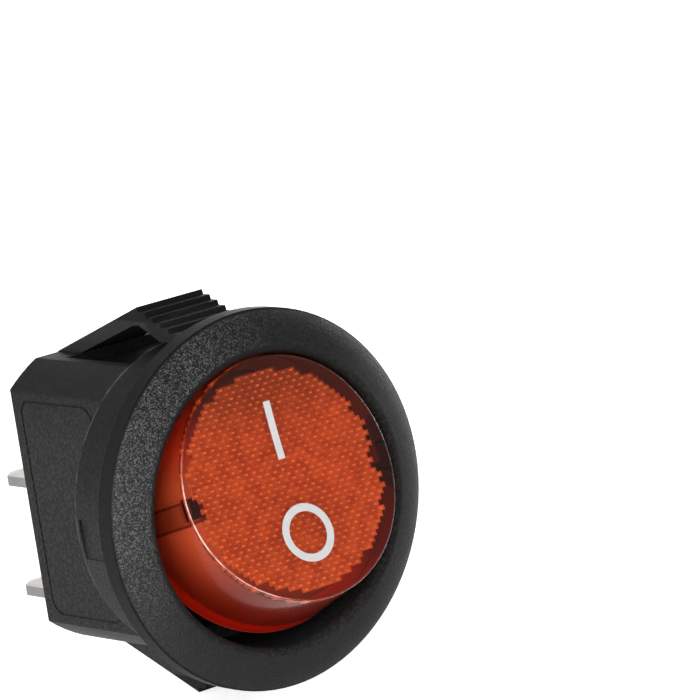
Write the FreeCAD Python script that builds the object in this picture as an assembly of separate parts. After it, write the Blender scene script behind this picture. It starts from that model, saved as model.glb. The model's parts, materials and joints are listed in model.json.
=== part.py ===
"""Panel rocker switch, round, snap-in, two terminals: one STEP file per physical piece.

Row frame, millimetres: +X to the right seen from the front, +Y to the rear, +Z up.
The origin is the centre of the flange's back face, where the panel's front skin sits.
The rocker is stored as the photograph shows it, with its upper side pressed in.
"""
import FreeCAD, Part
import math
import os

V = FreeCAD.Vector

# fits between pieces
RUN_FIT = 0.05          # radial running clearance, pins and plunger
TOUCH = 0.02            # clearance between pieces that seat against each other
SWING_GAP = 0.28        # skirt to opening, all round
SWEEP_GAP = 0.09        # plunger tip to lever at mid-swing

# barrel and pivot, which the rest is sized from
BARREL_R = 7.65         # fits a panel hole about 15.5 across
PIVOT_Y = 1.2
PIN_R = 0.80
PIN_END = BARREL_R - 0.42          # the pins stop inside the barrel's wall
PEEP_R = 0.75           # opening in the skin over each pin
LUG_R = 1.5             # lugs that carry the rocker's pins

# housing, outside
BRIM = 1.35             # flange beyond the barrel
FLANGE_R = BARREL_R + BRIM
RIM_T = 1.0             # smooth edge of the flange
EDGE_R = 0.12           # eased rear edge of the flange
CROWN_Y = -1.86         # front-most ring of the bezel
BORE_R = BARREL_R - 0.75          # opening that the rocker swings in
CROWN_R = BORE_R + 0.50
BORE_START = CROWN_Y + 0.36
STEP_Y = PIVOT_Y + LUG_R + 0.30   # end of the round bore, behind the lugs
LEDGE_Y = STEP_Y + 0.74           # the round barrel ends here and the flats begin
BODY_X = BARREL_R - 2.60          # side flats
BODY_Z = BARREL_R - 0.75          # top and bottom flats
BODY_Y = 11.65                    # rear face
REAR_FILLET = 0.22
WALL = 0.85
OVERLAP = 0.5           # how far solids that are fused run into each other
FLOOR_Y = BODY_Y - 2.35           # inner face of the rear wall
PANEL_EDGE = 1.58                 # marking panel on a side flat, in from its upper and lower edges
GROOVE_W = 0.12
GROOVE_D = 0.07

# terminals
BLADE_X = 2.0
BLADE_T = 0.5
BLADE_OUT = 7.35        # length outside the housing
BLADE_TIP = BODY_Y + BLADE_OUT
TIP_TAPER = 1.2
TIP_NARROW = 1.05
TIP_X = BLADE_X - TIP_NARROW
EYE_X = 0.52
EYE_Y0 = BODY_Y + 0.4133 * BLADE_OUT
EYE_Y1 = BODY_Y + 0.8 * BLADE_OUT
COIN_RUN = 0.9          # thinned part of the tip
COIN_DEPTH = 0.12
EAR_X = 0.8             # staked ears beside the slot
EAR_OUT = 0.5
EAR_DROP = 0.45

# snap arms, drawn for the upper one and mirrored
ARM_W = 3.86
ARM_CREST_Y = LEDGE_Y + 0.59
ARM_CREST_Z = BARREL_R + 1.77
ARM_ROOT_Y = BODY_Y - 0.05
ARM_STEPS = 5
STEP_RUN = 0.56
STEP_DROP = 0.235
ARM_TIP_T = 0.32
ARM_LIMB_T = 0.72
WINDOW_X = ARM_W / 2 + 0.87       # half-width of the recess under each arm
WINDOW_D = 0.5          # depth of that recess below the flat
WINDOW_END = FLOOR_Y + 0.30

# rear face
PITCH = BODY_Z - 1.30   # terminal positions at -PITCH, 0 and +PITCH
RIB_X = BLADE_X + 0.10
RIB_OUT = 0.8
RIB_T = 0.72
RIB_GAP = 0.35          # middle of the unused position to the ribs on both sides
BLADE_RIB = BLADE_T / 2 + 0.32    # middle of a blade to the rib above it

# rocker
TILT = 15.5             # each way from the middle
FACE_D = 4.35           # pivot to the middle of the face
FACE_RISE = 0.5         # how far the ends stand proud of the dished middle
SKIRT_R = BORE_R - SWING_GAP      # radius at the skirt's rear edge
FACE_R = SKIRT_R - 0.82
PAD_R = FACE_R - 0.70             # inside radius of the cap at its face
SKIRT_D = 0.6           # pivot to the skirt's rear edge, measured forwards
SKIRT_T = 0.75
FACE_T = 0.85
BROW_FILLET = 0.13

# plunger, spring, lever and contacts
PLUNGER_R = 1.12
PLUNGER_START = 0.5     # pivot to the plunger's spring end
TIP_R = 0.8
BOSS_R = PLUNGER_R + RUN_FIT + 0.58
BOSS_END = 2.4
BOSS_FLOOR = -2.4
WIRE_R = 0.11
SPRING_R = PLUNGER_R - 0.30
SPRING_TURNS = 5
END_TURNS = 0.75        # closed turns at each end
COIL_POINTS = 12        # points per turn on the wire's path
LEVER_TILT = 8.0
LEVER_T = 0.5
LEVER_X = 1.6
LEVER_Z = BODY_Z - 1.90
NECK_Z = 0.6            # half-height of the notches that the fulcrum prongs stand in
NECK_X = 1.1
VALLEY_Z = 0.4 * LEVER_Z
VALLEY_SLOPE = 0.25     # slope of the lever's shallow V, close to the turn of the plunger's path
CONTACT_R = 0.8
CONTACT_Z = LEVER_Z - CONTACT_R
CONTACT_H = 0.32
DOME_H = 0.12
SHANK_R = 0.45
STAKE_R, STAKE_H = 0.7, 0.15
STOP_X = 0.8


def box(x0, x1, y0, y1, z0, z1):
    """A box from its limits along X, Y and Z."""
    return Part.makeBox(x1 - x0, y1 - y0, z1 - z0, V(x0, y0, z0))


def rod_y(r, y0, y1, x=0.0, z=0.0):
    """A cylinder along Y."""
    return Part.makeCylinder(r, y1 - y0, V(x, y0, z), V(0, 1, 0))


def rod_x(r, x0, x1, y, z=0.0):
    """A cylinder along X."""
    return Part.makeCylinder(r, x1 - x0, V(x0, y, z), V(1, 0, 0))


def prism_x(points, half):
    """A closed outline of (y, z) points, extruded to plus and minus half along X."""
    ring = [V(-half, y, z) for y, z in points]
    face = Part.Face(Part.makePolygon(ring + ring[:1]))
    return face.extrude(V(2 * half, 0, 0))


def turned(edges):
    """A solid turned about Y from edges that lie in the XY plane."""
    return Part.Face(Part.Wire(edges)).revolve(V(0, 0, 0), V(0, 1, 0), 360)


def line(a, b):
    return Part.makeLine(V(a[0], a[1], 0), V(b[0], b[1], 0))


def arc(a, b, c):
    return Part.Arc(V(a[0], a[1], 0), V(b[0], b[1], 0), V(c[0], c[1], 0)).toShape()


def tilted(shape, degrees, y):
    """The shape turned about the X direction through (y, z = 0)."""
    shape.rotate(V(0, y, 0), V(1, 0, 0), degrees)
    return shape


def body_block(inset, y0, y1):
    """The barrel section cut by the side, top and bottom flats, made smaller by inset."""
    half_x, half_z = BODY_X - inset, BODY_Z - inset
    return rod_y(BARREL_R - inset, y0, y1).common(box(-half_x, half_x, y0, y1, -half_z, half_z))


def bezel():
    """The flange with its crowned front ring and the round barrel behind it, solid to the axis."""
    rim, crown, lip = (FLANGE_R, -RIM_T), (CROWN_R, CROWN_Y), (BORE_R, BORE_START)
    swell = ((rim[0] + crown[0]) / 2, (rim[1] + crown[1]) / 2 - 0.16)
    nose = (lip[0] + 0.12, crown[1] + 0.12)
    return turned([
        line((0, lip[1]), (0, LEDGE_Y)),
        line((0, LEDGE_Y), (BARREL_R, LEDGE_Y)),
        line((BARREL_R, LEDGE_Y), (BARREL_R, 0)),
        line((BARREL_R, 0), (FLANGE_R - EDGE_R, 0)),
        arc((FLANGE_R - EDGE_R, 0), (FLANGE_R - 0.293 * EDGE_R, -0.293 * EDGE_R), (FLANGE_R, -EDGE_R)),
        line((FLANGE_R, -EDGE_R), rim),
        arc(rim, swell, crown),
        arc(crown, nose, lip),
        line(lip, (0, lip[1])),
    ])


def snap_arm():
    """The upper snap arm: a sprung limb from the rear, a crest, and a stepped front for panel grip."""
    y, z = ARM_CREST_Y, ARM_CREST_Z
    slope = (z - BODY_Z) / (ARM_ROOT_Y - y)
    outline = [(ARM_ROOT_Y, BODY_Z - WALL / 2), (ARM_ROOT_Y, BODY_Z), (y, z)]
    for _ in range(ARM_STEPS):
        z -= STEP_DROP
        outline.append((y - 0.06, z))
        y -= STEP_RUN
        outline.append((y, z))
    tip_z = BARREL_R + 0.15
    outline += [(y - ARM_TIP_T, z - 0.12), (y - ARM_TIP_T, tip_z), (y + 1.3, tip_z)]
    under = ARM_CREST_Z - ARM_LIMB_T - 0.16
    outline.append((ARM_CREST_Y + 0.1, under))
    outline.append((ARM_CREST_Y + 0.55, under - 0.04))
    end = WINDOW_END + 0.2
    outline.append((end, ARM_CREST_Z - slope * (end - ARM_CREST_Y) - 0.92 * ARM_LIMB_T))
    outline.append((end, BODY_Z - WALL / 2))
    return prism_x(outline, ARM_W / 2)


def rib(z0):
    """A guard rib across the rear face, with its outer edges eased."""
    bar = box(-RIB_X, RIB_X, BODY_Y - 0.3, BODY_Y + RIB_OUT, z0, z0 + RIB_T)
    outer = [e for e in bar.Edges if min(v.Y for v in e.Vertexes) > BODY_Y]
    return bar.makeFillet(0.13, outer)


def frame_groove(side):
    """The thin outline moulded round the marking panel on a side flat."""
    def panel(inset):
        x0, half_z = BODY_X - GROOVE_D, BODY_Z - PANEL_EDGE - inset
        slab = box(x0, x0 + 1, LEDGE_Y + 1.21 + inset, BODY_Y - 0.78 - inset, -half_z, half_z)
        return slab.makeFillet(0.8 - inset, [e for e in slab.Edges if e.BoundBox.XLength > 0.99])
    ring = panel(0).cut(panel(GROOVE_W))
    return ring if side > 0 else ring.mirror(V(0, 0, 0), V(1, 0, 0))


def housing():
    """One moulding: bezel, barrel, flat-sided body, snap arms, rear ribs and all its openings."""
    block = body_block(0.0, LEDGE_Y - OVERLAP, BODY_Y)
    rear = [e for e in block.Edges if min(v.Y for v in e.Vertexes) > BODY_Y - 1e-6]
    shell = bezel().fuse(block.makeFillet(REAR_FILLET, rear))
    shell = shell.cut(rod_y(BORE_R, CROWN_Y - 1, STEP_Y)).cut(body_block(WALL, STEP_Y - 0.2, FLOOR_Y))
    for side in (1, -1):
        low, high = sorted((side * (BODY_Z - WINDOW_D), side * (BARREL_R + 1)))
        shell = shell.cut(box(-WINDOW_X, WINDOW_X, LEDGE_Y, WINDOW_END, low, high))
    arm = snap_arm()
    shell = shell.fuse(arm).fuse(arm.mirror(V(0, 0, 0), V(0, 0, 1)))
    for z0 in (PITCH + RIB_GAP, PITCH - RIB_GAP - RIB_T, BLADE_RIB, BLADE_RIB - PITCH):
        shell = shell.fuse(rib(z0))
    # the unused third position is a blind slot; the other two go through for the blades
    blind = BLADE_T / 2 + TOUCH
    shell = shell.cut(box(-RIB_X, RIB_X, BODY_Y - 0.9, BODY_Y + 1, PITCH - blind, PITCH + blind))
    for z0 in (0.0, -PITCH):
        slot_x = BLADE_X + TOUCH
        shell = shell.cut(box(-slot_x, slot_x, FLOOR_Y - 1, BODY_Y + 1, z0 - blind, z0 + blind))
    reach = BARREL_R + 1
    # sockets for the pins, each with a part-round opening to the outside
    end = PIN_END + 0.10
    shell = shell.cut(rod_x(PIN_R + RUN_FIT, -end, end, PIVOT_Y))
    peep = rod_x(PEEP_R, -reach, reach, PIVOT_Y - 0.35, -0.25)
    inner = box(-PIN_END, PIN_END, -reach, reach, -reach, reach)
    shell = shell.cut(peep.cut(inner).common(box(-reach, reach, PIVOT_Y - 0.3, STEP_Y, -PIN_R, PIN_R)))
    # moulding marks: a shallow flat round the left pivot opening, panel outlines, insert lines
    shell = shell.cut(box(-reach, 0.18 - BARREL_R, PIVOT_Y - 0.3, LEDGE_Y - 0.24, -1.3, 0.62))
    for side in (1, -1):
        shell = shell.cut(frame_groove(side))
    for z0, z1 in ((PITCH - 3.8, PITCH - 1.1), (1.5 - PITCH, 4.4 - PITCH)):
        shell = shell.cut(box(-BLADE_X - 0.55, -BLADE_X - 0.47, BODY_Y - GROOVE_D, BODY_Y + 1, z0, z1))
    # the stop that the free end of the lever lands on
    stop = box(-STOP_X, STOP_X, stop_y(), FLOOR_Y + 0.2, CONTACT_Z - 0.5, CONTACT_Z + 0.5)
    return shell.fuse(stop).removeSplitter()


def dome_radius():
    """Radius of the moving contact's domed face."""
    return (CONTACT_R ** 2 + DOME_H ** 2) / (2 * DOME_H)


def fulcrum_y():
    """Where the lever rocks, set back from the closed contacts at the lever's rest tilt."""
    b = math.radians(LEVER_TILT)
    face = FLOOR_Y - TOUCH - BLADE_T - CONTACT_H
    arm_u = CONTACT_H - VALLEY_Z * VALLEY_SLOPE - dome_radius()
    return face - TOUCH - dome_radius() - arm_u * math.cos(b) - CONTACT_Z * math.sin(b)


def stop_y():
    """Front of the stop, just clear of the lever's free end when it has rocked over."""
    b = math.radians(LEVER_TILT)
    wing = VALLEY_Z * VALLEY_SLOPE * math.cos(b)
    return fulcrum_y() - wing + (CONTACT_Z + 0.5) * math.sin(b) + 0.05


def cap_face(d):
    """Everything in front of a dished face whose middle lies d ahead of the pivot."""
    r = FACE_R ** 2 / (2 * FACE_RISE)
    return rod_x(r, -FLANGE_R, FLANGE_R, PIVOT_Y - d - r)


def rocker_button():
    """Clear cap: dished face, flaring skirt, two lugs with pivot pins, and the plunger boss."""
    front, edge = PIVOT_Y - FACE_D - FACE_RISE, PIVOT_Y - SKIRT_D
    flare = (SKIRT_R - FACE_R) / (edge - front)
    ahead = 0.5
    cap = Part.makeCone(FACE_R - flare * ahead, SKIRT_R, edge - front + ahead,
                        V(0, front - ahead, 0), V(0, 1, 0))
    cap = cap.cut(cap_face(FACE_D))
    brow = [e for e in cap.Edges if e.BoundBox.YMax < PIVOT_Y - FACE_D + 0.05]
    cap = cap.makeFillet(BROW_FILLET, brow)
    inside = PIVOT_Y - FACE_D + FACE_T
    hollow = Part.makeCone(PAD_R, SKIRT_R - SKIRT_T, edge - inside, V(0, inside, 0), V(0, 1, 0))
    lug = rod_x(LUG_R, -SKIRT_R, SKIRT_R, PIVOT_Y)
    lug = lug.fuse(box(-SKIRT_R, SKIRT_R, edge - 0.6, PIVOT_Y, -LUG_R, LUG_R))
    lug = lug.common(rod_y(SKIRT_R, edge - 0.6, PIVOT_Y + 2))
    keep = SKIRT_R - 0.95
    cap = cap.cut(hollow).fuse(lug.cut(box(-keep, keep, front, PIVOT_Y + 2, -LUG_R, LUG_R)))
    for side in (1, -1):
        x0, x1 = sorted((side * (SKIRT_R - 0.3), side * PIN_END))
        pin = rod_x(PIN_R, x0, x1, PIVOT_Y)
        cap = cap.fuse(pin)
        x0, x1 = sorted((side * (PAD_R - 0.3), side * (PAD_R + 0.35)))
        cap = cap.cut(box(x0, x1, inside - 0.3, edge - 0.8, -0.5, 0.5))
    boss = rod_y(BOSS_R, inside - 0.2, PIVOT_Y + BOSS_END)
    bore = rod_y(PLUNGER_R + RUN_FIT, PIVOT_Y + BOSS_FLOOR, PIVOT_Y + BOSS_END + 1)
    cap = cap.fuse(boss).cut(bore).removeSplitter()
    return tilted(cap, -TILT, PIVOT_Y)


def tip_reach():
    """Pivot to the centre of the plunger's round tip."""
    cos_v = math.cos(math.atan(VALLEY_SLOPE))
    return fulcrum_y() - LEVER_T / cos_v - PIVOT_Y - (TIP_R + SWEEP_GAP) / cos_v


def plunger():
    """Sliding pin with a round tip, guided in the rocker's boss and pushed by the spring."""
    start, reach = PLUNGER_START, tip_reach()
    neck = reach - 0.55
    bulge = (TIP_R * math.sin(math.pi / 4), reach + TIP_R * math.cos(math.pi / 4))
    pin = turned([
        line((0, start), (PLUNGER_R, start)),
        line((PLUNGER_R, start), (PLUNGER_R, neck)),
        line((PLUNGER_R, neck), (TIP_R, reach)),
        arc((TIP_R, reach), bulge, (0, reach + TIP_R)),
        line((0, reach + TIP_R), (0, start)),
    ])
    pin.translate(V(0, PIVOT_Y, 0))
    return tilted(pin, -TILT, PIVOT_Y)


def coil_height(turn, length):
    """Height of the spring's wire after so many turns; the end turns are closed up."""
    active = SPRING_TURNS - 2 * END_TURNS
    tight = 2.1 * WIRE_R
    pitch = (length - 2 * END_TURNS * tight) / active
    wound = min(turn, END_TURNS) + max(0.0, turn - END_TURNS - active)
    return tight * wound + pitch * (turn - wound)


def plunger_spring():
    """Compression spring between the bottom of the boss and the plunger."""
    length = PLUNGER_START - BOSS_FLOOR - 2 * (WIRE_R + TOUCH)
    points = []
    for k in range(SPRING_TURNS * COIL_POINTS + 1):
        turn = k / COIL_POINTS
        a = 2 * math.pi * turn
        points.append(V(SPRING_R * math.cos(a), coil_height(turn, length), -SPRING_R * math.sin(a)))
    path = Part.BSplineCurve()
    path.interpolate(points)
    ring = Part.makeCircle(WIRE_R, points[0], path.tangent(path.FirstParameter)[0])
    coil = Part.Wire(path.toShape()).makePipeShell([Part.Wire(ring)], True, True)
    coil.translate(V(0, PIVOT_Y + BOSS_FLOOR + WIRE_R + TOUCH, 0))
    return tilted(coil, -TILT, PIVOT_Y)


def contact_lever():
    """Rocking contact plate, folded to a shallow V that the plunger tip crosses."""
    fold, angle = VALLEY_Z * VALLEY_SLOPE, math.atan(VALLEY_SLOPE)
    mitre = LEVER_T * math.tan(angle / 2)
    y = fulcrum_y()
    back = [(y - fold, -LEVER_Z), (y - fold, -VALLEY_Z), (y, 0), (y - fold, VALLEY_Z), (y - fold, LEVER_Z)]
    front = [(y - fold - LEVER_T, LEVER_Z), (y - fold - LEVER_T, VALLEY_Z + mitre),
             (y - LEVER_T / math.cos(angle), 0),
             (y - fold - LEVER_T, -VALLEY_Z - mitre), (y - fold - LEVER_T, -LEVER_Z)]
    plate = prism_x(back + front, LEVER_X)
    for side in (1, -1):
        x0, x1 = sorted((side * NECK_X, side * (LEVER_X + 1)))
        plate = plate.cut(box(x0, x1, y - 2, y + 1, -NECK_Z, NECK_Z))
    plate = plate.cut(rod_y(SHANK_R + 0.01, y - 2, y + 1, 0, -CONTACT_Z))
    return tilted(plate, LEVER_TILT, y)


def moving_contact():
    """Domed contact rivet at the lever's lower end."""
    y = fulcrum_y() - VALLEY_Z * VALLEY_SLOPE
    top, rise = y + CONTACT_H - DOME_H, y + CONTACT_H
    mid_y = rise - dome_radius() + math.sqrt(dome_radius() ** 2 - (CONTACT_R / 2) ** 2)
    front = y - LEVER_T
    rivet = turned([
        line((0, front - STAKE_H), (STAKE_R, front - STAKE_H)),
        line((STAKE_R, front - STAKE_H), (STAKE_R, front)),
        line((STAKE_R, front), (SHANK_R, front)),
        line((SHANK_R, front), (SHANK_R, y)),
        line((SHANK_R, y), (CONTACT_R, y)),
        line((CONTACT_R, y), (CONTACT_R, top)),
        arc((CONTACT_R, top), (CONTACT_R / 2, mid_y), (0, rise)),
        line((0, rise), (0, front - STAKE_H)),
    ])
    rivet.translate(V(0, 0, -CONTACT_Z))
    return tilted(rivet, LEVER_TILT, fulcrum_y())


def fixed_contact_z():
    """Height at which the domed contact touches the fixed one."""
    b = math.radians(LEVER_TILT)
    u = CONTACT_H - VALLEY_Z * VALLEY_SLOPE - dome_radius()
    return u * math.sin(b) - CONTACT_Z * math.cos(b)


def fixed_contact():
    """Flat contact rivet on the load terminal's foot."""
    z = fixed_contact_z() + 0.1
    foot = FLOOR_Y - TOUCH - BLADE_T
    head = rod_y(CONTACT_R + 0.05, foot - CONTACT_H, foot, 0, z)
    return head.fuse(rod_y(SHANK_R, foot, foot + BLADE_T, 0, z)).removeSplitter()


def blade(z):
    """The outside of a terminal: tapered tip, eye, and the staked ears against the rear face."""
    outline = [(-BLADE_X, FLOOR_Y - TOUCH), (-BLADE_X, BLADE_TIP - TIP_TAPER), (-TIP_X, BLADE_TIP),
               (TIP_X, BLADE_TIP), (BLADE_X, BLADE_TIP - TIP_TAPER), (BLADE_X, FLOOR_Y - TOUCH)]
    low, high = z - BLADE_T / 2, z + BLADE_T / 2
    ring = [V(x, y, low) for x, y in outline]
    tab = Part.Face(Part.makePolygon(ring + ring[:1])).extrude(V(0, 0, BLADE_T))
    eye = box(-EYE_X, EYE_X, EYE_Y0, EYE_Y1, low - 1, high + 1)
    upright = [e for e in eye.Edges if e.BoundBox.ZLength > 1]
    tab = tab.cut(eye.makeFillet(0.28, upright))
    # the tip is coined a little thinner on both sides
    for sign in (1, -1):
        edge_z = z + sign * BLADE_T / 2
        start, end = BLADE_TIP - COIN_RUN, BLADE_TIP + 0.1
        thin, clear = edge_z - sign * COIN_DEPTH, edge_z + sign * COIN_DEPTH
        wedge = [(start, edge_z), (BLADE_TIP, thin), (end, thin), (end, clear), (start, clear)]
        tab = tab.cut(prism_x(wedge, BLADE_X + 1))
    for side in (1, -1):
        x0, x1 = sorted((side * (BLADE_X - 0.05), side * (BLADE_X + EAR_X)))
        ear = box(x0, x1, BODY_Y + TOUCH, BODY_Y + EAR_OUT, low - EAR_DROP, high)
        outer = [e for e in ear.Edges if abs(e.CenterOfMass.x) > BLADE_X + 0.9 * EAR_X
                 and e.CenterOfMass.y > BODY_Y + 0.4 * EAR_OUT]
        tab = tab.fuse(ear.makeFillet(0.2 * EAR_X, outer))
    return tab.cut(box(-BLADE_X + 0.05, BLADE_X - 0.05, BODY_Y, BODY_Y + 1, low - 1, low))


def common_terminal():
    """Middle terminal; its inner end is the fulcrum, with two prongs that keep the lever in place."""
    y = fulcrum_y()
    half = BLADE_T / 2
    post = box(-BLADE_X, BLADE_X, y + TOUCH, FLOOR_Y, -half, half)
    for side in (1, -1):
        x0, x1 = sorted((side * (NECK_X + 0.1), side * BLADE_X))
        post = post.fuse(box(x0, x1, y - LEVER_T - 0.6, FLOOR_Y, -half, half))
    return blade(0.0).fuse(post).removeSplitter()


def load_terminal():
    """Lower terminal; its inner end turns up into a foot that carries the fixed contact."""
    low = -PITCH - BLADE_T / 2
    front = FLOOR_Y - TOUCH - BLADE_T
    top = fixed_contact_z() + CONTACT_R + 0.3
    foot = box(-BLADE_X, BLADE_X, front, front + BLADE_T, low, top)
    foot = foot.fuse(box(-BLADE_X, BLADE_X, front, FLOOR_Y, low, low + BLADE_T))
    foot = foot.cut(rod_y(SHANK_R + 0.01, front - 1, FLOOR_Y + 1, 0, fixed_contact_z() + 0.1))
    return blade(-PITCH).fuse(foot).removeSplitter()


PIECES = {
    "housing": housing,
    "rocker_button": rocker_button,
    "plunger": plunger,
    "plunger_spring": plunger_spring,
    "contact_lever": contact_lever,
    "moving_contact": moving_contact,
    "fixed_contact": fixed_contact,
    "common_terminal": common_terminal,
    "load_terminal": load_terminal,
}


def main():
    """Writes every piece to parts/ and prints its volume."""
    os.makedirs("parts", exist_ok=True)
    for name, make in PIECES.items():
        shape = make()
        if len(shape.Solids) != 1 or not shape.isValid():
            print("LOOK AT", name, len(shape.Solids), shape.isValid())
        shape.exportStep("parts/" + name + ".step")
        box_ = shape.BoundBox
        print(f"{name}: {shape.Volume:.2f} mm3, x {box_.XMin:.2f} {box_.XMax:.2f}, "
              f"y {box_.YMin:.2f} {box_.YMax:.2f}, z {box_.ZMin:.2f} {box_.ZMax:.2f}")


main()
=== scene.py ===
"""Panel rocker switch: the lens pattern and printed marks, the finishes of every moulded and stamped
piece, and a plain studio stage.

The frame is in metres, +X right, +Y to the rear, +Z up, with the panel's front skin at Y = 0.
The lens is made level, facing -Y about its pivot, and then tipped with the rocker.
"""
import json
import math

import bmesh
import bpy
from bpy.props import FloatProperty, FloatVectorProperty, IntProperty, PointerProperty
from mathutils import Matrix, Vector


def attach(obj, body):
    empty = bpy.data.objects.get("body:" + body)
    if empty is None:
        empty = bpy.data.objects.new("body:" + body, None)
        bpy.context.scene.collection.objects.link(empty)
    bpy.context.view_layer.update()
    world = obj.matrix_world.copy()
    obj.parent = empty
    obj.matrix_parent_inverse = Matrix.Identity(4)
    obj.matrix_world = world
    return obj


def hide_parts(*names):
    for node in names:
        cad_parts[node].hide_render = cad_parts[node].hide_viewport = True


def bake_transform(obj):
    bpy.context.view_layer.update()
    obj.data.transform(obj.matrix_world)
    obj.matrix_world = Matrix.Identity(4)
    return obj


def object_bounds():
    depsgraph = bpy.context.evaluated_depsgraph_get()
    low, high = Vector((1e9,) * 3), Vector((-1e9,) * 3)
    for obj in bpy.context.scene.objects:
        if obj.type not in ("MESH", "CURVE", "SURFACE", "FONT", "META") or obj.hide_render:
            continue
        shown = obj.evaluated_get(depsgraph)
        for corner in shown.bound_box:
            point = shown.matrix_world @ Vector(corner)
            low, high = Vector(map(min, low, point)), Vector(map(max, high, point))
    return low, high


bl_info = {
    "name": "Panel rocker switch",
    "version": (1, 0, 0),
    "blender": (4, 5, 0),
    "location": "View3D > Sidebar > Rocker switch",
    "description": "Lens pattern, marks, finishes and stage for a round snap-in rocker switch",
    "category": "Object",
}

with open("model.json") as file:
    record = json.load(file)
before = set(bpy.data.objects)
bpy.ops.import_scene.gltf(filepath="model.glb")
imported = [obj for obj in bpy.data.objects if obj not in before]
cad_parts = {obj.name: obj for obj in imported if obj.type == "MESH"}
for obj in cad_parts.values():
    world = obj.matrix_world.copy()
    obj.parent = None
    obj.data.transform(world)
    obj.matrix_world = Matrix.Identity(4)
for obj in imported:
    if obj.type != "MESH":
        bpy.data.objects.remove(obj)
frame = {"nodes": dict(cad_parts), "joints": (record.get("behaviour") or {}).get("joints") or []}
CAD_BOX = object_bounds()
HINGE = next(j for j in frame["joints"] if j["name"] == "rocker_hinge")
MM = 0.001
UPRIGHT = Matrix.Rotation(math.pi / 2, 4, "X")     # stands a flat shape up, so that it faces the front

RING_STEPS = 72            # straight runs round the ring mark
BAR_STEPS = 14             # divisions of the bar, so that it follows the dished face
MARK_SINK = 0.004 * MM     # the marks' backs stand this deep in the face
FIELD_BACK = 0.08 * MM     # the prism field's flat back, behind the prisms' feet
WIRE_SIDES = 12
TURN_STEPS = 24            # straight runs in one turn of the spring
CLOSED_RISE = 2.1          # rise of a closed turn, in wire radii
WELD = 0.002 * MM          # corners nearer than this become one

FLOOR_RADIUS = 0.5
FLOOR_SIDES = 64
FLOOR_GAP = 0.0002         # the lowest point stands this far above the floor
SENSOR_WIDTH = 36.0        # in millimetres, as the focal length is

# name, place, width and height in metres, power in watts
SOFT_BOXES = (
    ("left_box", (-0.25, -0.11, 0.05), 0.28, 0.18, 0.95),
    ("right_box", (0.23, 0.14, 0.06), 0.20, 0.14, 0.60),
    ("front_box", (-0.03, -0.24, 0.012), 0.12, 0.08, 0.10),
)


# Sizes and colours

def distance(name, metres, description):
    return FloatProperty(name=name, default=metres, subtype="DISTANCE", unit="LENGTH", precision=6,
                         description=description)


def colour(name, levels, description):
    return FloatVectorProperty(name=name, subtype="COLOR", size=3, default=levels, min=0, max=1,
                               description=description)


class LensSizes(bpy.types.PropertyGroup):
    """Sizes of the clear rocker, measured level and about its pivot."""
    pivot_y: distance("Pivot", HINGE["pos_m"][1], "Distance of the pivot behind the panel's skin")
    tilt: FloatProperty(name="Tilt", default=-math.radians(HINGE["range_deg"][1] / 2), subtype="ANGLE",
                        description="Rest tilt of the rocker about X")
    face_depth: distance("Face", 4.35 * MM, "Pivot to the middle of the face")
    dish_radius: distance("Dish radius", 33.64 * MM, "Radius that the face is hollowed to")
    face_thickness: distance("Face thickness", 0.85 * MM, "Plastic in front of the hollow, at the middle")
    face_radius: distance("Face radius", 5.80 * MM, "Outer radius at the face")
    skirt_radius: distance("Skirt radius", 6.62 * MM, "Outer radius at the skirt's rear edge")
    skirt_depth: distance("Skirt depth", 0.6 * MM, "Pivot to the skirt's rear edge, measured forwards")
    face_rise: distance("Face rise", 0.5 * MM, "How far the face's ends stand ahead of its middle")
    pocket_x: distance("Pocket", 4.75 * MM, "Distance from the middle to the pockets over the pivots")
    pocket_z: distance("Pocket height", -0.15 * MM, "Height of the pockets' middle")
    pocket_half: distance("Pocket half", 0.5 * MM, "Middle of a pocket to its edges")


class PatternSizes(bpy.types.PropertyGroup):
    """The moulded prisms that spread light under the face."""
    radius: distance("Radius", 5.42 * MM, "Edge of the prism field")
    depth: distance("Depth", 0.45 * MM, "Depth of the prisms' feet below the middle of the face")
    across: distance("Pitch across", 0.46 * MM, "Prism pitch along X")
    down: distance("Row pitch", 0.2575 * MM, "Row pitch down the face")
    height: distance("Prism height", 0.075 * MM, "How far each prism's tip stands up")
    notch_start: distance("Notch start", 4.85 * MM, "Distance from the middle to the notches over the pivots")
    notch_centre: distance("Notch centre", -0.155 * MM, "Height of the notches' middle")
    notch_rows: IntProperty(name="Notch rows", default=4, min=0, description="Rows that each notch takes out")


class MarkSizes(bpy.types.PropertyGroup):
    """The printed bar and ring."""
    bar_top: distance("Bar top", 3.74 * MM, "Upper end of the bar")
    bar_bottom: distance("Bar bottom", 0.97 * MM, "Lower end of the bar")
    stroke: distance("Stroke", 0.38 * MM, "Width of both marks' strokes")
    ring_z: distance("Ring centre", -2.65 * MM, "Height of the ring's centre")
    ring_radius: distance("Ring radius", 1.4 * MM, "Outer radius of the ring")
    bar_x: distance("Bar place", -0.06 * MM, "Sideways place of the bar")
    ink: distance("Ink", 0.012 * MM, "Thickness of the ink")


class SpringSizes(bpy.types.PropertyGroup):
    """The plunger's spring, measured level and about the rocker's pivot."""
    wire: distance("Wire radius", 0.11 * MM, "Half the wire's thickness")
    coil: distance("Coil radius", 0.82 * MM, "Axis to the middle of the wire")
    turns: FloatProperty(name="Turns", default=5.0, min=2.0, description="All turns of the wire")
    closed: FloatProperty(name="Closed turns", default=0.75, min=0.0, description="Closed turns at each end")
    floor: distance("Boss floor", -2.38 * MM, "Fixed end of the spring")
    seat: distance("Plunger seat", 0.48 * MM, "End of the spring that the plunger pushes")


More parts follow.
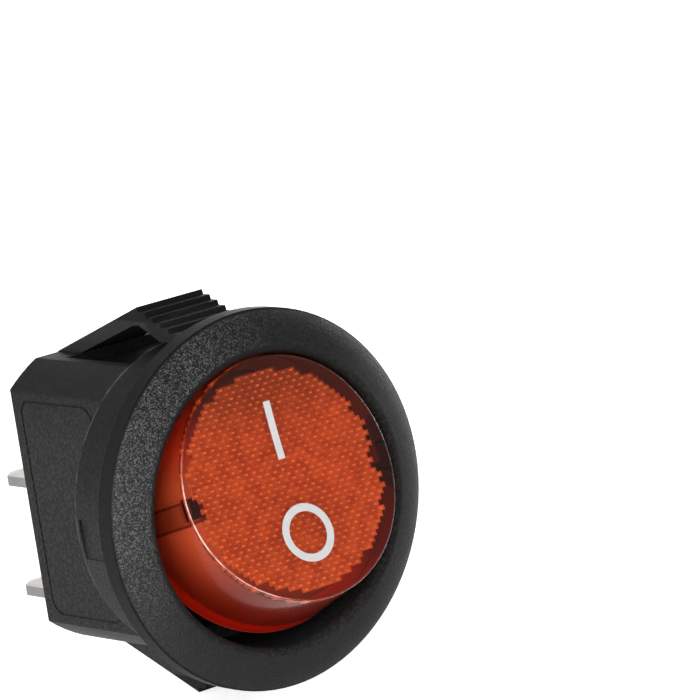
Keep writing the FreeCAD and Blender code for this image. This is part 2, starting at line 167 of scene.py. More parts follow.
class HousingPlaces(bpy.types.PropertyGroup):
    """Places on the housing that its finish follows."""
    barrel: distance("Barrel radius", 7.65 * MM, "Radius of the round barrel behind the bezel")
    ledge: distance("Barrel end", 3.74 * MM, "Rear edge of the round barrel")
    grain_start: distance("Grain start", 7.29 * MM, "Radius at which the bezel's grain begins")
    grain_end: distance("Grain end", 8.89 * MM, "Radius at which the bezel's grain ends")
    grain_back: distance("Grain back", -1.015 * MM, "Rear limit of the bezel's grain")
    # the nylon finish paints shade on the rim beyond this radius
    lip: distance("Lip", 8.925 * MM, "Radius of the bezel's polished lip")
    arm_foot: distance("Arm foot", 7.0 * MM, "Height above which only the snap arms reach")


class Finishes(bpy.types.PropertyGroup):
    """Colours of the mouldings and metals, as linear red, green and blue."""
    nylon: colour("Nylon", (0.0210, 0.0210, 0.0213), "Black glass-filled nylon")
    lens: colour("Lens", (0.86, 0.20, 0.12), "Tint of the clear polycarbonate")
    frosted: colour("Frosted lens", (0.70, 0.36, 0.13), "Frosted inner walls of the lens")
    ink: colour("Ink", (0.76, 0.76, 0.76), "Printed marks")
    nickel: colour("Nickel", (0.52, 0.50, 0.47), "Nickel plating")
    brass: colour("Brass", (0.66, 0.50, 0.30), "Sheared brass edges")
    strip: colour("Strip", (0.72, 0.52, 0.24), "Brass strip of the contact lever")
    silver: colour("Silver", (0.80, 0.79, 0.76), "Contact rivets")
    steel: colour("Steel", (0.56, 0.55, 0.53), "Drawn spring wire")
    acetal: colour("Acetal", (0.80, 0.79, 0.76), "White plunger")
    clouds: colour("Acetal clouds", (0.74, 0.73, 0.69), "Faint clouds in the plunger")


class StageSettings(bpy.types.PropertyGroup):
    """Camera and light."""
    camera_place: FloatVectorProperty(name="Camera", subtype="TRANSLATION", size=3, precision=5,
                                      default=(-0.140582, -0.199779, 0.051401), description="Camera position")
    camera_turn: FloatVectorProperty(name="Camera turn", subtype="EULER", size=3, precision=5,
                                     default=tuple(math.radians(a) for a in (79.4048, 8.7139, -38.0407)),
                                     description="Camera rotation")
    lens: FloatProperty(name="Focal length", default=273.86, min=10,
                        description="Focal length in millimetres, on a 36 mm sensor")
    sky: FloatProperty(name="Surround", default=0.30, min=0, description="Light from the white surround")
    paper: FloatProperty(name="Paper glow", default=0.68, min=0, max=1,
                         description="Keeps the paper white where the camera sees it")
    key: FloatProperty(name="Lamps", default=1.0, min=0, description="Strength of all the soft boxes")


PROPERTY_GROUPS = {
    "switch_lens": LensSizes, "switch_pattern": PatternSizes, "switch_marks": MarkSizes,
    "switch_spring": SpringSizes, "switch_housing": HousingPlaces, "switch_finishes": Finishes,
    "switch_stage": StageSettings,
}


# Short calls for the nodes that the finishes share

class Graph:
    """A material's node tree. Places and lengths in it are in millimetres."""

    def __init__(self, name):
        self.material = bpy.data.materials.new(name)
        self.material.use_nodes = True
        self.tree = self.material.node_tree
        self.shader = self.tree.nodes["Principled BSDF"]
        place = self.node("ShaderNodeTexCoord").outputs["Object"]
        scale = self.node("ShaderNodeVectorMath", operation="SCALE")
        self.tree.links.new(place, scale.inputs[0])
        scale.inputs["Scale"].default_value = 1 / MM
        self.mm = scale.outputs[0]

    def node(self, kind, **settings):
        made = self.tree.nodes.new(kind)
        for key, value in settings.items():
            setattr(made, key, value)
        return made

    def put(self, socket, value):
        if isinstance(value, bpy.types.NodeSocket):
            self.tree.links.new(value, socket)
        else:
            socket.default_value = value

    def math(self, operation, a, b=0.0):
        made = self.node("ShaderNodeMath", operation=operation)
        self.put(made.inputs[0], a)
        self.put(made.inputs[1], b)
        return made.outputs[0]

    def plus(self, a, b):
        return self.math("ADD", a, b)

    def minus(self, a, b):
        return self.math("SUBTRACT", a, b)

    def times(self, first, *others):
        for other in others:
            first = self.math("MULTIPLY", first, other)
        return first

    def absolute(self, value):
        return self.math("ABSOLUTE", value)

    def split(self, vector):
        made = self.node("ShaderNodeSeparateXYZ")
        self.put(made.inputs[0], vector)
        return made.outputs

    def step(self, value, low, high, bottom=0.0, top=1.0):
        """A smooth step of value from bottom at low to top at high."""
        made = self.node("ShaderNodeMapRange", interpolation_type="SMOOTHSTEP")
        for socket, v in zip(made.inputs, (value, low, high, bottom, top)):
            self.put(socket, v)
        return made.outputs[0]

    def beyond(self, value, edge, soft):
        """One above the edge and nothing below it, softened by so much on both sides."""
        return self.step(value, edge - soft, edge + soft)

    def short_of(self, value, edge, soft):
        """One below the edge and nothing above it, softened by so much on both sides."""
        return self.step(value, edge + soft, edge - soft)

    def near(self, value, place, reach, full):
        """One where value is within full of a place, and nothing past its reach."""
        return self.step(self.absolute(self.minus(value, place)), reach, full)

    def radius(self, a, b):
        return self.math("SQRT", self.plus(self.times(a, a), self.times(b, b)))

    def noise(self, scale, detail=2.0, rough=0.5, vector=None):
        """Fractal noise about 0.5, with scale in features per millimetre."""
        made = self.node("ShaderNodeTexNoise")
        self.put(made.inputs["Vector"], vector or self.mm)
        made.inputs["Scale"].default_value = scale
        made.inputs["Detail"].default_value = detail
        made.inputs["Roughness"].default_value = rough
        return made.outputs["Fac"]

    def cells(self, scale):
        """A random level in each small cell, with scale in cells per millimetre."""
        made = self.node("ShaderNodeTexVoronoi", feature="F1")
        self.put(made.inputs["Vector"], self.mm)
        made.inputs["Scale"].default_value = scale
        return self.split(made.outputs["Color"])[0]

    def stretched(self, scales):
        made = self.node("ShaderNodeVectorMath", operation="MULTIPLY")
        self.put(made.inputs[0], self.mm)
        made.inputs[1].default_value = scales
        return made.outputs[0]

    def mix(self, factor, a, b):
        made = self.node("ShaderNodeMix", data_type="RGBA")
        self.put(made.inputs["Factor"], factor)
        self.put(made.inputs[6], a if isinstance(a, bpy.types.NodeSocket) else (*a, 1))
        self.put(made.inputs[7], b if isinstance(b, bpy.types.NodeSocket) else (*b, 1))
        return made.outputs[2]

    def layered(self, base, layers):
        """Lays each colour over the ones before it, where its mask says."""
        for mask, levels in layers:
            base = self.mix(mask, base, levels)
        return base

    def bump(self, height, depth, strength=1.0, under=None):
        """Adds relief of the given depth."""
        made = self.node("ShaderNodeBump")
        self.put(made.inputs["Strength"], strength)
        made.inputs["Distance"].default_value = depth * MM
        self.put(made.inputs["Height"], height)
        if under:
            self.put(made.inputs["Normal"], under)
        return made.outputs[0]

    def set(self, **sockets):
        """Fills the shader's sockets, named with underscores for spaces."""
        for key, value in sockets.items():
            if isinstance(value, tuple):
                value = (*value, 1)
            self.put(self.shader.inputs[key.replace("_", " ")], value)

    def dress(self, *objects):
        """Puts the finish into every material slot of the objects."""
        for obj in objects:
            if not obj.data.materials:
                obj.data.materials.append(self.material)
            for slot in obj.material_slots:
                slot.material = self.material


def toned(levels, *by):
    """A colour with its channels multiplied, all by one number or each by its own."""
    by = by * 3 if len(by) == 1 else by
    return tuple(level * factor for level, factor in zip(levels, by))


def level_place(graph, lens):
    """Millimetre coordinates about the pivot with the rocker's rest tilt taken out."""
    shift = graph.node("ShaderNodeVectorMath", operation="SUBTRACT")
    graph.put(shift.inputs[0], graph.mm)
    shift.inputs[1].default_value = (0, lens.pivot_y / MM, 0)
    turn = graph.node("ShaderNodeMapping", vector_type="POINT")
    graph.put(turn.inputs["Vector"], shift.outputs[0])
    turn.inputs["Rotation"].default_value = (-lens.tilt, 0, 0)
    return turn.outputs[0]


# Finishes

def nylon_finish(nylon, places):
    """Black nylon: spark-eroded grain on the bezel's front, a finer one behind, and painted light and shade.
    """
    g = Graph("black_nylon_moulding")
    x, y, z = g.split(g.mm)
    r = g.radius(x, z)
    front = g.times(g.short_of(y, places.grain_back / MM, 0.065), g.beyond(r, places.grain_start / MM, 0.07),
                    g.short_of(r, places.grain_end / MM, 0.05))
    behind = g.minus(1.0, front)
    grain = g.noise(9.5, rough=0.62)
    fine = g.noise(17.0)
    flow = g.noise(0.55)
    mottle = g.noise(5.0, 3.0, 0.7)
    highlight_patches = g.noise(1.1, rough=0.6)
    relief = g.bump(grain, 0.16, front)
    relief = g.bump(fine, 0.02, behind, relief)
    relief = g.bump(flow, 0.05, 0.25, relief)

    # painted glints: the grain's bright specks are strongest towards the upper left and weaker below
    highlight_zone = g.times(g.step(g.minus(g.times(z, 0.6), x), 2.5, 8.0, 0.12, 1.0), g.step(z, -5.5, 1.0, 0.4, 1.0))
    painted_glint = g.times(g.step(g.cells(19.0), 0.45, 1.0), highlight_zone, front)
    pit = g.times(g.step(fine, 0.48, 0.36), front, g.step(highlight_zone, 0.1, 0.9, 0.3, 0.85))
    # painted shade on the barrel's upper half behind the bezel, and a painted highlight along its rear edge
    barrel = g.times(g.near(r, places.barrel / MM, 0.15, 0.05), g.step(z, -1.0, 3.0), g.step(y, -0.1, 0.1))
    edge = g.times(g.near(y, places.ledge / MM, 0.11, 0.05), g.near(r, places.barrel / MM, 0.12, 0.06))
    arm_light = g.times(g.step(y, 3.5, 4.0), g.beyond(g.absolute(z), places.arm_foot / MM, 0.1))
    shade = g.layered(tuple(nylon), (
        (g.step(flow, 0.35, 0.7, 0.0, 0.3), toned(nylon, 1.5)),                       # flow marks
        (g.step(x, -5.0, -8.0, 0.0, 0.3), toned(nylon, 2.4)),                         # painted light on the left side
        (g.times(g.step(x, 3.5, 7.0, 0.0, 0.5), front), toned(nylon, 4.0)),           # painted light on the grain's right side
        (g.times(g.step(fine, 0.52, 0.62, 0.0, 0.45), behind), toned(nylon, 0.55)),   # finer grain behind
        (g.times(g.step(mottle, 0.42, 0.62, 0.0, 0.5), behind), toned(nylon, 2.6)),   # pale mottling
        (g.times(g.step(grain, 0.5, 0.4, 0.0, 0.45), behind), toned(nylon, 0.3)),     # dark pits behind
        (pit, toned(nylon, 0.2)),                                                     # dark pits in front, deeper in the painted glint zone
        (g.times(front, 0.25), toned(nylon, 3.0)),
        (g.times(g.step(z, 2.0, 7.5), 0.6), toned(nylon, 0.35)),                      # painted shade on the top
        # painted shade on the barrel's upper half
        (g.times(barrel, 0.5), toned(nylon, 0.3)),
        # painted light: the snap arms are lighter
        (g.times(arm_light, 0.2), toned(nylon, 3.0)),
        # painted glints on the grain's specks
        (g.times(painted_glint, 0.62), toned(nylon, 10.0)),
        (g.times(g.beyond(r, places.lip / MM, 0.045), 0.75), toned(nylon, 0.2)),      # painted shade on the rim past the lip
        # painted highlight along the barrel's rear edge
        (g.times(edge, g.step(highlight_patches, 0.4, 0.6, 0.15, 0.8)), toned(nylon, 4.5)),
    ))
    g.set(Base_Color=shade, Normal=relief, IOR=1.53, Specular_IOR_Level=0.045,
          Roughness=g.minus(g.plus(g.times(flow, 0.16), 0.42), g.times(painted_glint, 0.14)))
    return g


def lens_finish(lens, tint, frosted):
    """Clear tinted polycarbonate with polished outer faces and frosted inner walls."""
    g = Graph("clear_red_lens")
    x, y, z = g.split(level_place(g, lens))
    front = (lens.face_depth + lens.face_rise) / MM
    rear = -lens.skirt_depth / MM
    hollow = (lens.face_thickness - lens.face_depth) / MM
    slope = (lens.skirt_radius - lens.face_radius) / (lens.face_depth + lens.face_rise - lens.skirt_depth)
    outside = g.plus(g.times(g.plus(y, front), slope), lens.face_radius / MM)
    inwards = g.minus(outside, g.radius(x, z))
    inner = g.times(g.math("MAXIMUM", g.step(inwards, 0.12, 0.2), g.step(y, rear - 0.06, rear - 0.02)),
                    g.step(y, hollow - 0.13, hollow - 0.07))

    # painted shade: the pockets over the pivots are painted dark through the face and down the skirt
    off = g.absolute(g.minus(z, lens.pocket_z / MM))
    half = lens.pocket_half / MM
    lines = g.times(g.near(off, half, 0.10, 0.04), 0.75)
    pocket = g.times(g.step(off, half + 0.06, half), g.step(y, hollow - 0.4, hollow + 0.3, 0.88, 0.38))
    pocket = g.times(g.math("MAXIMUM", pocket, lines), g.beyond(g.absolute(x), lens.pocket_x / MM, 0.05))

    # painted shade on the frosted walls: darker towards the rear, the bottom, the top and the right
    bright = toned(frosted, 1.05, 1.1, 1.75)
    cloud = g.noise(0.8)
    flank_shade = g.times(g.step(x, -1.5, -4.0), g.step(z, 0.8, 3.0, 0.0, 0.7))
    glow = g.times(g.step(y, rear - 0.3, rear - 0.06), g.step(z, 0.5, -4.0, 0.05, 0.7))
    shaded = g.times(g.step(x, 3.2, 5.0), g.step(z, 1.5, -1.5, 0.0, 0.55))
    wall = g.layered(bright, (
        (g.step(y, hollow, rear), toned(bright, 0.42, 0.2, 0.18)),                 # towards the rear
        (g.times(cloud, 0.4), toned(bright, 0.7)),
        (g.step(z, -0.8, -5.0, 0.0, 0.84), toned(bright, 0.22, 0.07, 0.06)),       # bottom
        (g.step(z, 2.2, 4.6, 0.0, 0.5), toned(bright, 0.3, 0.3, 0.5)),             # top
        (flank_shade, toned(bright, 1.0, 0.2, 0.14)),                                    # painted shade on the upper left, deeper red
        (glow, toned(bright, 1.0, 0.14, 0.08)),                                    # painted glow along the lower rear rim, deeper red
        (shaded, toned(bright, 0.14, 0.06, 0.06)),                                 # lower right
        (pocket, (0.05, 0.006, 0.004)),
    ))

    # painted highlight: a pale band on the polished edge round the face, towards the lower left
    dish = g.times(g.times(z, z), -0.5 * MM / lens.dish_radius)
    below = g.minus(y, g.minus(dish, lens.face_depth / MM))
    highlight_side = g.times(g.step(x, -1.2, -3.2), g.step(z, 3.5, 0.5))
    highlight_zone = g.times(highlight_side, g.step(g.noise(1.3, rough=0.6), 0.3, 0.6, 0.35, 0.9))
    highlight_patches = g.times(g.step(inwards, 0.065, 0.035), g.step(below, 0.08, 0.05), highlight_zone)
    ripple = g.bump(g.noise(0.35, 1.0), 0.02, 0.25)
    g.set(Base_Color=g.mix(highlight_patches, g.mix(inner, tuple(tint), wall), (0.85, 0.66, 0.60)),
          Transmission_Weight=g.minus(1.0, g.math("MAXIMUM", g.times(inner, 0.88), highlight_patches)),
          Roughness=g.plus(g.times(inner, 0.45), g.step(below, 0.25, 0.6, 0.03, 0.11)),
          Normal=g.bump(g.noise(9.0), 0.02, inner, ripple),
          IOR=1.45, Specular_IOR_Level=0.1, Specular_Tint=(0.42, 0.24, 0.2))
    return g


def pattern_finish(lens, pattern, frosted):
    """Moulded prisms in the same red, with painted glints on their tips and painted shade towards the top."""
    g = Graph("red_prism_field")
    place = g.split(level_place(g, lens))
    foot = (pattern.depth - lens.face_depth) / MM
    height = pattern.height / MM
    tip = g.step(place["Y"], foot - 0.4 * height, foot - 0.85 * height)
    patch = g.step(g.noise(1.7, rough=0.6), 0.35, 0.62)
    shade = g.mix(g.noise(0.5), toned(frosted, 0.72), toned(frosted, 1.1))
    shade = g.mix(patch, g.mix(0.45, shade, toned(frosted, 0.45, 0.2, 0.3)), shade)
    # painted shade towards the top
    shade = g.mix(g.times(g.step(place["Z"], 2.2, 4.8), 0.78), shade, toned(frosted, 0.4))
    # painted glints on the prisms' tips
    glint = g.times(tip, g.step(g.noise(2.6, 1.0), 0.3, 0.68, 0.35, 1.0))
    warm = tuple(min(1.0, level) for level in toned(frosted, 1.5, 2.0, 2.2))
    g.set(Base_Color=g.mix(glint, shade, warm), Roughness=0.35, IOR=1.5, Specular_IOR_Level=0.15)
    return g


def ink_finish(ink):
    """Matt pad-printed ink with a slightly uneven tone."""
    g = Graph("white_ink")
    patch = g.noise(2.2, 3.0, 0.6)
    g.set(Base_Color=g.mix(g.step(patch, 0.3, 0.75), toned(ink, 0.93), tuple(ink)),
          Roughness=g.plus(g.times(patch, 0.2), 0.42), Normal=g.bump(g.noise(14.0), 0.004, 0.5))
    return g


def terminal_finish(nickel, brass):
    """Nickel-plated strip with fine rolling lines and bare sheared edges near the housing."""
    g = Graph("nickel_plate")
    y = g.split(g.mm)["Y"]
    flat = g.absolute(g.split(g.node("ShaderNodeNewGeometry").outputs["Normal"])["Z"])
    edge = g.step(flat, 0.75, 0.6)
    bare = g.times(edge, g.step(y, 13.4, 12.2))
    lines = g.noise(1.0, 3.0, 0.6, g.stretched((26.0, 1.2, 26.0)))
    plate = g.layered(tuple(nickel), (
        (g.step(g.noise(0.9, 3.0, 0.55), 0.35, 0.75), toned(nickel, 0.8)),
        # painted shade: the bevels and side edges are darker, found by their normals
        (g.step(flat, 0.995, 0.96, 0.0, 0.45), toned(nickel, 0.45)),
        (g.times(edge, 0.6), toned(nickel, 0.3)),
        (bare, tuple(brass)),
    ))
    g.set(Base_Color=plate, Metallic=1.0, Roughness=g.plus(g.times(lines, 0.18), 0.22),
          Normal=g.bump(lines, 0.004, 0.6))
    return g


def metal_finish(name, metal, rough, scales):
    """A plain stamped or drawn metal, with working lines that are longest where the scale is smallest."""
    g = Graph(name)
    lines = g.noise(1.0, 3.0, 0.6, g.stretched(scales))
    g.set(Base_Color=g.mix(lines, toned(metal, 0.8), tuple(metal)), Metallic=1.0,
          Roughness=g.plus(g.times(lines, 0.2), rough), Normal=g.bump(lines, 0.003, 0.6))
    return g


def acetal_finish(acetal, clouds):
    """White acetal, slightly waxy and faintly clouded."""
    g = Graph("white_acetal")
    patch = g.noise(1.4)
    g.set(Base_Color=g.mix(patch, tuple(clouds), tuple(acetal)),
          Roughness=g.plus(g.times(patch, 0.15), 0.3), Normal=g.bump(g.noise(12.0), 0.003, 0.5))
    return g


# Pieces

def face_y(lens, z):
    """Level Y of the dished face at height z, measured from the pivot."""
    return -lens.face_depth - lens.dish_radius + math.sqrt(lens.dish_radius ** 2 - z * z)


def rest_turn(lens):
    """From level places about the pivot to the rocker's place at rest."""
    return Matrix.Translation((0, lens.pivot_y, 0)) @ Matrix.Rotation(lens.tilt, 4, "X")


def seat_on_rocker(mesh, lens):
    """Takes a level bmesh to the rocker's place at rest."""
    bmesh.ops.transform(mesh, verts=mesh.verts, matrix=rest_turn(lens))


def placed(name, data):
    """Puts a new object of the data into the scene."""
    obj = bpy.data.objects.new(name, data)
    bpy.context.scene.collection.objects.link(obj)
    return obj


def object_of(mesh, name, graph):
    """Makes an object of a bmesh and gives it its finish."""
    data = bpy.data.meshes.new(name)
    mesh.to_mesh(data)
    mesh.free()
    data.materials.append(graph.material)
    return placed(name, data)


def finished(mesh, name, graph, body=None):
    """Makes a piece of a bmesh, which rides on a body where one is named."""
    obj = object_of(mesh, name, graph)
    if body:
        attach(obj, body)
    return obj


def prism_field(pattern):
    """Rows of small prisms in a stepped disc, staggered from row to row and notched at both sides."""
    mesh = bmesh.new()
    count = 2 * int(pattern.radius / pattern.across) + 3
    rows = int(pattern.radius / pattern.down) + 1
    half = pattern.notch_rows // 2
    for row in range(-rows, rows):
        z = pattern.notch_centre + (row + 0.5) * pattern.down
        place = Matrix.Translation(((row % 2) * pattern.across / 2, 0, z)) @ UPRIGHT
        stretch = Matrix.Diagonal((count * pattern.across, pattern.down, 1, 1))
        made = bmesh.ops.create_grid(mesh, x_segments=count, y_segments=1, size=0.5, matrix=place @ stretch)
        spare = []
        for face in {f for v in made["verts"] for f in v.link_faces}:
            x = abs(face.calc_center_median().x)
            notched = -half <= row < half and x > pattern.notch_start
            if math.hypot(x, z) > pattern.radius - pattern.across / 4 or notched:
                spare.append(face)
        bmesh.ops.delete(mesh, geom=spare, context="FACES")
    bmesh.ops.poke(mesh, faces=mesh.faces, offset=pattern.height)
    return mesh


def build_pattern(lens, pattern, finishes):
    """The prism field as one closed plate, under the rocker's clear face."""
    mesh = prism_field(pattern)
    bmesh.ops.remove_doubles(mesh, verts=mesh.verts, dist=WELD)
    back = bmesh.ops.extrude_face_region(mesh, geom=mesh.faces[:], use_keep_orig=True)
    for v in back["geom"]:
        if isinstance(v, bmesh.types.BMVert):
            v.co.y = FIELD_BACK
    bmesh.ops.recalc_face_normals(mesh, faces=mesh.faces)
    bmesh.ops.translate(mesh, verts=mesh.verts, vec=(0, pattern.depth - lens.face_depth, 0))
    seat_on_rocker(mesh, lens)
    graph = pattern_finish(lens, pattern, finishes.frosted)
    finished(mesh, "lens_prisms", graph, "rocker")


def build_marks(lens, marks, finishes):
    """The bar and the ring, as thin plates of ink that follow the dished face."""
    graph = ink_finish(finishes.ink)
    bar = bmesh.new()
    bmesh.ops.create_grid(bar, x_segments=2, y_segments=BAR_STEPS, size=0.5)
    length = marks.bar_top - marks.bar_bottom
    for v in bar.verts:
        v.co = Vector((marks.bar_x + v.co.x * marks.stroke, 0, marks.bar_bottom + (v.co.y + 0.5) * length))
    ring = bmesh.new()
    for radius in (marks.ring_radius, marks.ring_radius - marks.stroke):
        bmesh.ops.create_circle(ring, segments=RING_STEPS, radius=radius, matrix=UPRIGHT)
    bmesh.ops.bridge_loops(ring, edges=ring.edges)
    bmesh.ops.translate(ring, verts=ring.verts, vec=(0, 0, marks.ring_z))
    for mesh, name in ((bar, "mark_on"), (ring, "mark_off")):
        rim = bmesh.ops.extrude_face_region(mesh, geom=mesh.faces[:], use_keep_orig=True)
        raised = {v for v in rim["geom"] if isinstance(v, bmesh.types.BMVert)}
        for v in mesh.verts:
            v.co.y = face_y(lens, v.co.z) + (-marks.ink if v in raised else MARK_SINK)
        bmesh.ops.recalc_face_normals(mesh, faces=mesh.faces)
        seat_on_rocker(mesh, lens)
        finished(mesh, name, graph, "rocker")


def build_spring(lens, spring, finishes):
    """A coil from the boss floor to the plunger seat, wound at the rocker's rest place, in place of the
    part's own spring.
    """
    mesh = bmesh.new()
    low = spring.floor + spring.wire
    high = spring.seat - spring.wire
    tight = CLOSED_RISE * spring.wire
    open_turns = spring.turns - 2 * spring.closed
    pitch = (high - low - 2 * spring.closed * tight) / open_turns
    ring = bmesh.ops.create_circle(mesh, segments=WIRE_SIDES, radius=spring.wire,
                                   matrix=Matrix.Translation((spring.coil, low, 0)))
    end = ring["verts"] + list({e for v in ring["verts"] for e in v.link_edges})
    for turns, rise in ((spring.closed, tight), (open_turns, pitch), (spring.closed, tight)):
        steps = round(TURN_STEPS * turns)
        turned = bmesh.ops.spin(mesh, geom=end, cent=(0, 0, 0), axis=(0, 1, 0), steps=steps,
                                angle=2 * math.pi * turns, dvec=(0, rise * turns / steps, 0))
        end = turned["geom_last"]
    bmesh.ops.remove_doubles(mesh, verts=mesh.verts, dist=WELD / 2)
    bmesh.ops.holes_fill(mesh, edges=mesh.edges)
    bmesh.ops.recalc_face_normals(mesh, faces=mesh.faces)
    for face in mesh.faces:
        face.smooth = True
    seat_on_rocker(mesh, lens)
    graph = metal_finish("spring_wire", finishes.steel, 0.18, (6.0, 18.0, 6.0))
    obj = finished(mesh, "spring_coil", graph)
    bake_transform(obj)
    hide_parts("plunger_spring")


# Stage

def seen_directly(tree):
    """One where the camera, gloss or glass sees a surface, and nothing where it lights another."""
    path = tree.nodes.new("ShaderNodeLightPath")
    total = path.outputs["Is Camera Ray"]
    for name in ("Is Glossy Ray", "Is Transmission Ray"):
        either = tree.nodes.new("ShaderNodeMath")
        either.operation = "MAXIMUM"
        tree.links.new(total, either.inputs[0])
        tree.links.new(path.outputs[name], either.inputs[1])
        total = either.outputs[0]
    return total


def build_surround(stage):
    """A white world, seen at full strength and lighting the switch at the stage's own."""
    world = bpy.data.worlds.new("white_surround")
    world.use_nodes = True
    bpy.context.scene.world = world
    tree = world.node_tree
    lit = tree.nodes["Background"]
    seen = tree.nodes.new("ShaderNodeBackground")
    for background, strength in ((lit, stage.sky), (seen, 1.0)):
        background.inputs["Color"].default_value = (1, 1, 1, 1)
        background.inputs["Strength"].default_value = strength
    mix = tree.nodes.new("ShaderNodeMixShader")
    tree.links.new(seen_directly(tree), mix.inputs[0])
    tree.links.new(lit.outputs[0], mix.inputs[1])
    tree.links.new(seen.outputs[0], mix.inputs[2])
    tree.links.new(mix.outputs[0], tree.nodes["World Output"].inputs["Surface"])


def build_floor(stage):
    """A round sheet of white paper under the switch."""
    g = Graph("white_paper")
    g.set(Base_Color=g.mix(g.noise(1.5, 3.0, 0.6), (0.9, 0.9, 0.9), (0.93, 0.93, 0.93)), Roughness=0.9)
    glow = g.node("ShaderNodeEmission")
    g.put(glow.inputs["Strength"], g.times(seen_directly(g.tree), stage.paper))
    both = g.node("ShaderNodeAddShader")
    g.put(both.inputs[0], g.shader.outputs[0])
    g.put(both.inputs[1], glow.outputs[0])
    g.put(g.tree.nodes["Material Output"].inputs["Surface"], both.outputs[0])
    sheet = bmesh.new()
    bmesh.ops.create_circle(sheet, cap_ends=True, segments=FLOOR_SIDES, radius=FLOOR_RADIUS,
                            matrix=Matrix.Translation((0, 0, CAD_BOX[0].z - FLOOR_GAP)))
    floor = object_of(sheet, "floor", g)


def soft_box(name, place, width, height, power):
    """A rectangular lamp that faces the switch."""
    lamp = bpy.data.lights.new(name, "AREA")
    lamp.shape = "RECTANGLE"
    lamp.size = width
    lamp.size_y = height
    lamp.energy = power
    obj = placed(name, lamp)
    obj.location = place
    obj.rotation_euler = (-Vector(place)).to_track_quat("-Z", "Y").to_euler()


def build_camera(stage):
    """The long lens that the switch is seen through."""
    camera = bpy.data.cameras.new("camera")
    camera.lens = stage.lens
    camera.sensor_width = SENSOR_WIDTH
    camera.clip_start = 0.01
    camera.clip_end = 5.0
    view = placed("camera", camera)
    view.location = stage.camera_place
    view.rotation_euler = stage.camera_turn
    bpy.context.scene.camera = view


# Operators, panel and registration

class SWITCH_OT_housing(bpy.types.Operator):
    """Give the housing its moulded nylon finish"""
    bl_idname = "switch.housing"
    bl_label = "Housing finish"

    def execute(self, context):
        s = context.scene
        nylon_finish(s.switch_finishes.nylon, s.switch_housing).dress(frame["nodes"]["housing"])
        return {"FINISHED"}


class SWITCH_OT_lens(bpy.types.Operator):
    """Give the rocker its clear red lens finish"""
    bl_idname = "switch.lens"
    bl_label = "Lens finish"

    def execute(self, context):
        s = context.scene
        graph = lens_finish(s.switch_lens, s.switch_finishes.lens, s.switch_finishes.frosted)
        graph.dress(frame["nodes"]["rocker_button"])
        return {"FINISHED"}


class SWITCH_OT_pattern(bpy.types.Operator):
    """Mould the field of prisms under the rocker's face"""
    bl_idname = "switch.pattern"
    bl_label = "Prism field"

    def execute(self, context):
        s = context.scene
        build_pattern(s.switch_lens, s.switch_pattern, s.switch_finishes)
        return {"FINISHED"}


class SWITCH_OT_marks(bpy.types.Operator):
    """Print the on and off marks on the rocker's face"""
    bl_idname = "switch.marks"
    bl_label = "Printed marks"

    def execute(self, context):
        s = context.scene
        build_marks(s.switch_lens, s.switch_marks, s.switch_finishes)
        return {"FINISHED"}


class SWITCH_OT_terminals(bpy.types.Operator):
    """Plate the two terminals"""
    bl_idname = "switch.terminals"
    bl_label = "Terminal finish"

    def execute(self, context):
        graph = terminal_finish(context.scene.switch_finishes.nickel, context.scene.switch_finishes.brass)
        graph.dress(frame["nodes"]["common_terminal"], frame["nodes"]["load_terminal"])
        return {"FINISHED"}


class SWITCH_OT_spring(bpy.types.Operator):
    """Wind the spring behind the plunger"""
    bl_idname = "switch.spring"
    bl_label = "Plunger spring"

    def execute(self, context):
        s = context.scene
        build_spring(s.switch_lens, s.switch_spring, s.switch_finishes)
        return {"FINISHED"}


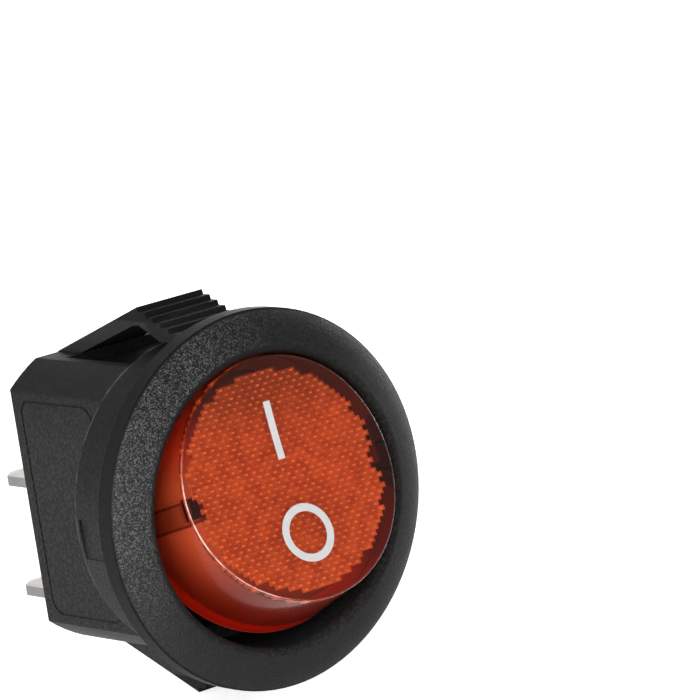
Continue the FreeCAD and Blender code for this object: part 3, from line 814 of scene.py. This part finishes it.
class SWITCH_OT_works(bpy.types.Operator):
    """Finish the plunger, the lever and the contacts"""
    bl_idname = "switch.works"
    bl_label = "Inner works"

    def execute(self, context):
        finishes = context.scene.switch_finishes
        nodes = frame["nodes"]
        acetal_finish(finishes.acetal, finishes.clouds).dress(nodes["plunger"])
        metal_finish("brass_strip", finishes.strip, 0.25, (20.0, 20.0, 1.5)).dress(nodes["contact_lever"])
        rivets = metal_finish("silver_contact", finishes.silver, 0.2, (8.0, 8.0, 8.0))
        rivets.dress(nodes["moving_contact"], nodes["fixed_contact"])
        return {"FINISHED"}


class SWITCH_OT_stage(bpy.types.Operator):
    """Set up the white surround, the floor, the soft boxes and the camera"""
    bl_idname = "switch.stage"
    bl_label = "Stage"

    def execute(self, context):
        stage = context.scene.switch_stage
        context.scene.view_settings.view_transform = "Standard"
        build_surround(stage)
        build_floor(stage)
        for name, place, width, height, power in SOFT_BOXES:
            soft_box(name, place, width, height, power * stage.key)
        build_camera(stage)
        return {"FINISHED"}


class SWITCH_PT_panel(bpy.types.Panel):
    """Sizes, colours and operators of the rocker switch"""
    bl_idname = "SWITCH_PT_panel"
    bl_label = "Rocker switch"
    bl_space_type = "VIEW_3D"
    bl_region_type = "UI"
    bl_category = "Rocker switch"

    def draw(self, context):
        for operator in OPERATORS:
            self.layout.operator(operator.bl_idname)
        for key, group in PROPERTY_GROUPS.items():
            box = self.layout.box()
            box.label(text=group.__doc__.split(".")[0])
            for prop in group.__annotations__:
                box.prop(getattr(context.scene, key), prop)


OPERATORS = (SWITCH_OT_housing, SWITCH_OT_lens, SWITCH_OT_pattern, SWITCH_OT_marks,
             SWITCH_OT_terminals, SWITCH_OT_spring, SWITCH_OT_works, SWITCH_OT_stage)


def register():
    for cls in (*PROPERTY_GROUPS.values(), *OPERATORS, SWITCH_PT_panel):
        bpy.utils.register_class(cls)
    for key, group in PROPERTY_GROUPS.items():
        setattr(bpy.types.Scene, key, PointerProperty(type=group))


def unregister():
    for key in PROPERTY_GROUPS:
        delattr(bpy.types.Scene, key)
    for cls in (SWITCH_PT_panel, *reversed(OPERATORS), *reversed(tuple(PROPERTY_GROUPS.values()))):
        bpy.utils.unregister_class(cls)


def main():
    register()
    bpy.ops.switch.stage()
    bpy.ops.switch.housing()
    bpy.ops.switch.lens()
    bpy.ops.switch.pattern()
    bpy.ops.switch.marks()
    bpy.ops.switch.terminals()
    bpy.ops.switch.spring()
    bpy.ops.switch.works()


if __name__ == "__main__":
    main()
